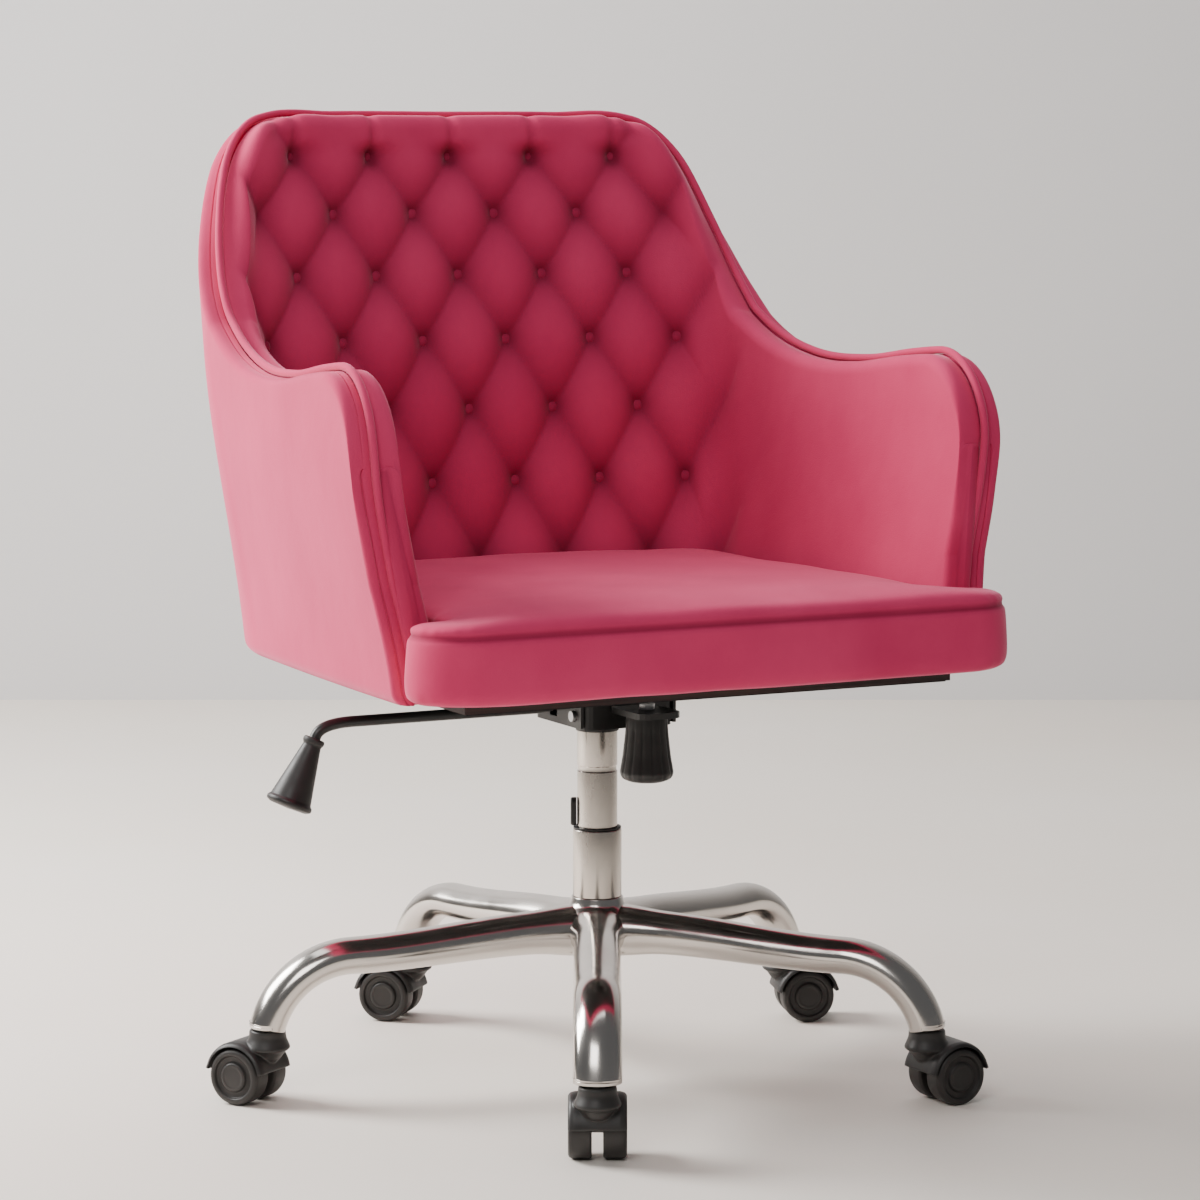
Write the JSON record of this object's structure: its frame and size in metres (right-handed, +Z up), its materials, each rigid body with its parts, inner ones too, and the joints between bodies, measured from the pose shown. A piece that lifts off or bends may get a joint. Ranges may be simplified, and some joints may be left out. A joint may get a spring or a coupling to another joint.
{
  "type": "upholstered swivel chair",
  "caption": "Button-tufted bucket chair with wrap-around arms on a gas-lift column, tilt mechanism, side lever, star base and twin-wheel casters.",
  "frame": {"origin": "centre of the chair's bounding box, on the floor", "axes": "+Z up; the chair faces -Y; +X is to the right when seen from in front of the chair's left"},
  "size_m": [0.7107, 0.6773, 0.9135],
  "materials": {
    "velvet": "rose velvet with a soft pile sheen",
    "chrome": "polished chrome plate",
    "column_steel": "satin chrome tube",
    "steel": "zinc plated steel",
    "black_metal": "black powder coat",
    "black_plastic": "moulded black nylon",
    "wheel_plastic": "moulded black nylon tread",
    "plywood": "raw birch plywood",
    "lining": "black non-woven dust cover"
  },
  "bodies": {
    "base": {"base_hub": "chrome", "base_arm_1": "chrome", "base_arm_2": "chrome", "base_arm_3": "chrome", "base_arm_4": "chrome", "base_arm_5": "chrome", "lower_column": "column_steel", "column_guide_bush": "black_plastic", "column_tab": "black_plastic"},
    "spindle": {"piston_rod": "column_steel", "thrust_bearing": "steel", "column_foot_clip": "steel"},
    "lift": {"gas_cylinder": "column_steel", "column_collar": "black_plastic", "tilt_housing": "black_metal", "tilt_pivot_shaft": "steel", "tension_bolt": "steel", "tension_spring": "steel"},
    "release_pin": {"release_pin": "steel"},
    "tension_knob": {"tension_knob": "black_plastic"},
    "lever_slide": {"lever_bush": "black_plastic"},
    "lever": {"lever_rod": "black_metal", "lever_grip": "black_plastic"},
    "seat": {"seat_plate": "black_metal", "seat_screw_1": "steel", "seat_screw_2": "steel", "seat_screw_3": "steel", "seat_screw_4": "steel", "seat_base_cover": "lining", "seat_board": "plywood", "seat_cushion": "velvet", "shell_frame": "velvet", "back_pad": "velvet", "shell_piping": "velvet"},
    "caster_1": {"caster_stem_1": "steel", "caster_hood_1": "black_plastic", "caster_axle_1": "steel"},
    "wheel_1_left": {"caster_wheel_1_left": "wheel_plastic"},
    "wheel_1_right": {"caster_wheel_1_right": "wheel_plastic"},
    "caster_2": {"caster_stem_2": "steel", "caster_hood_2": "black_plastic", "caster_axle_2": "steel"},
    "wheel_2_left": {"caster_wheel_2_left": "wheel_plastic"},
    "wheel_2_right": {"caster_wheel_2_right": "wheel_plastic"},
    "caster_3": {"caster_stem_3": "steel", "caster_hood_3": "black_plastic", "caster_axle_3": "steel"},
    "wheel_3_left": {"caster_wheel_3_left": "wheel_plastic"},
    "wheel_3_right": {"caster_wheel_3_right": "wheel_plastic"},
    "caster_4": {"caster_stem_4": "steel", "caster_hood_4": "black_plastic", "caster_axle_4": "steel"},
    "wheel_4_left": {"caster_wheel_4_left": "wheel_plastic"},
    "wheel_4_right": {"caster_wheel_4_right": "wheel_plastic"},
    "caster_5": {"caster_stem_5": "steel", "caster_hood_5": "black_plastic", "caster_axle_5": "steel"},
    "wheel_5_left": {"caster_wheel_5_left": "wheel_plastic"},
    "wheel_5_right": {"caster_wheel_5_right": "wheel_plastic"}
  },
  "joints": [
    {"name": "seat_swivel", "type": "hinge", "parent": "base", "child": "spindle", "pos_m": [0.0115, -0.0335, 0.0787], "axis": [0, 0, 1], "continuous": true},
    {"name": "height_lift", "type": "slide", "parent": "spindle", "child": "lift", "axis": [0, 0, 1], "range_m": [-0.06, 0.04]},
    {"name": "seat_tilt", "type": "hinge", "parent": "lift", "child": "seat", "pos_m": [0.0115, -0.0835, 0.3567], "axis": [-1, 0, 0], "range_deg": [0, 12], "stiffness_Nm_per_rad": 45, "springref_deg": -22.92},
    {"name": "tension_knob_turn", "type": "hinge", "parent": "lift", "child": "tension_knob", "pos_m": [0.0115, -0.1335, 0.2987], "axis": [0, 0, 1], "range_deg": [-540, 540]},
    {"name": "tilt_lock_pull", "type": "slide", "parent": "lift", "child": "lever_slide", "axis": [-1, 0, 0], "range_m": [0, 0.005]},
    {"name": "lever_lift", "type": "hinge", "parent": "lever_slide", "child": "lever", "pos_m": [-0.0245, -0.0335, 0.3662], "axis": [0, 1, 0], "range_deg": [0, 5]},
    {"name": "release_pin_press", "type": "slide", "parent": "lift", "child": "release_pin", "axis": [0, 0, -1], "range_m": [0, 0.0035]},
    {"name": "caster_1_swivel", "type": "hinge", "parent": "base", "child": "caster_1", "pos_m": [-0.13378, -0.31862, 0.0605], "axis": [0, 0, 1], "continuous": true},
    {"name": "caster_1_left_roll", "type": "hinge", "parent": "caster_1", "child": "wheel_1_left", "pos_m": [-0.12379, -0.29902, 0.0265], "axis": [-0.891, 0.454, 0], "continuous": true},
    {"name": "caster_1_right_roll", "type": "hinge", "parent": "caster_1", "child": "wheel_1_right", "pos_m": [-0.12379, -0.29902, 0.0265], "axis": [-0.891, 0.454, 0], "continuous": true},
    {"name": "caster_2_swivel", "type": "hinge", "parent": "base", "child": "caster_2", "pos_m": [0.23777, -0.25977, 0.0605], "axis": [0, 0, 1], "continuous": true},
    {"name": "caster_2_left_roll", "type": "hinge", "parent": "caster_2", "child": "wheel_2_left", "pos_m": [0.25974, -0.25862, 0.0265], "axis": [-0.0523, 0.9986, 0], "continuous": true},
    {"name": "caster_2_right_roll", "type": "hinge", "parent": "caster_2", "child": "wheel_2_right", "pos_m": [0.25974, -0.25862, 0.0265], "axis": [-0.0523, 0.9986, 0], "continuous": true},
    {"name": "caster_3_swivel", "type": "hinge", "parent": "base", "child": "caster_3", "pos_m": [0.29662, 0.11178, 0.0605], "axis": [0, 0, 1], "continuous": true},
    {"name": "caster_3_left_roll", "type": "hinge", "parent": "caster_3", "child": "wheel_3_left", "pos_m": [0.31755, 0.10498, 0.0265], "axis": [0.309, 0.9511, 0], "continuous": true},
    {"name": "caster_3_right_roll", "type": "hinge", "parent": "caster_3", "child": "wheel_3_right", "pos_m": [0.31755, 0.10498, 0.0265], "axis": [0.309, 0.9511, 0], "continuous": true},
    {"name": "caster_4_swivel", "type": "hinge", "parent": "base", "child": "caster_4", "pos_m": [-0.03856, 0.28256, 0.0605], "axis": [0, 0, 1], "continuous": true},
    {"name": "caster_4_left_roll", "type": "hinge", "parent": "caster_4", "child": "wheel_4_left", "pos_m": [-0.05412, 0.29812, 0.0265], "axis": [-0.7071, -0.7071, 0], "continuous": true},
    {"name": "caster_4_right_roll", "type": "hinge", "parent": "caster_4", "child": "wheel_4_right", "pos_m": [-0.05412, 0.29812, 0.0265], "axis": [-0.7071, -0.7071, 0], "continuous": true},
    {"name": "caster_5_swivel", "type": "hinge", "parent": "base", "child": "caster_5", "pos_m": [-0.30456, 0.01656, 0.0605], "axis": [0, 0, 1], "continuous": true},
    {"name": "caster_5_left_roll", "type": "hinge", "parent": "caster_5", "child": "wheel_5_left", "pos_m": [-0.31654, 0.03501, 0.0265], "axis": [-0.8387, -0.5446, 0], "continuous": true},
    {"name": "caster_5_right_roll", "type": "hinge", "parent": "caster_5", "child": "wheel_5_right", "pos_m": [-0.31654, 0.03501, 0.0265], "axis": [-0.8387, -0.5446, 0], "continuous": true}
  ],
  "couplings": [
    {"joint": "release_pin_press", "follows": "lever_lift", "m_per_rad": 0.04}
  ]
}
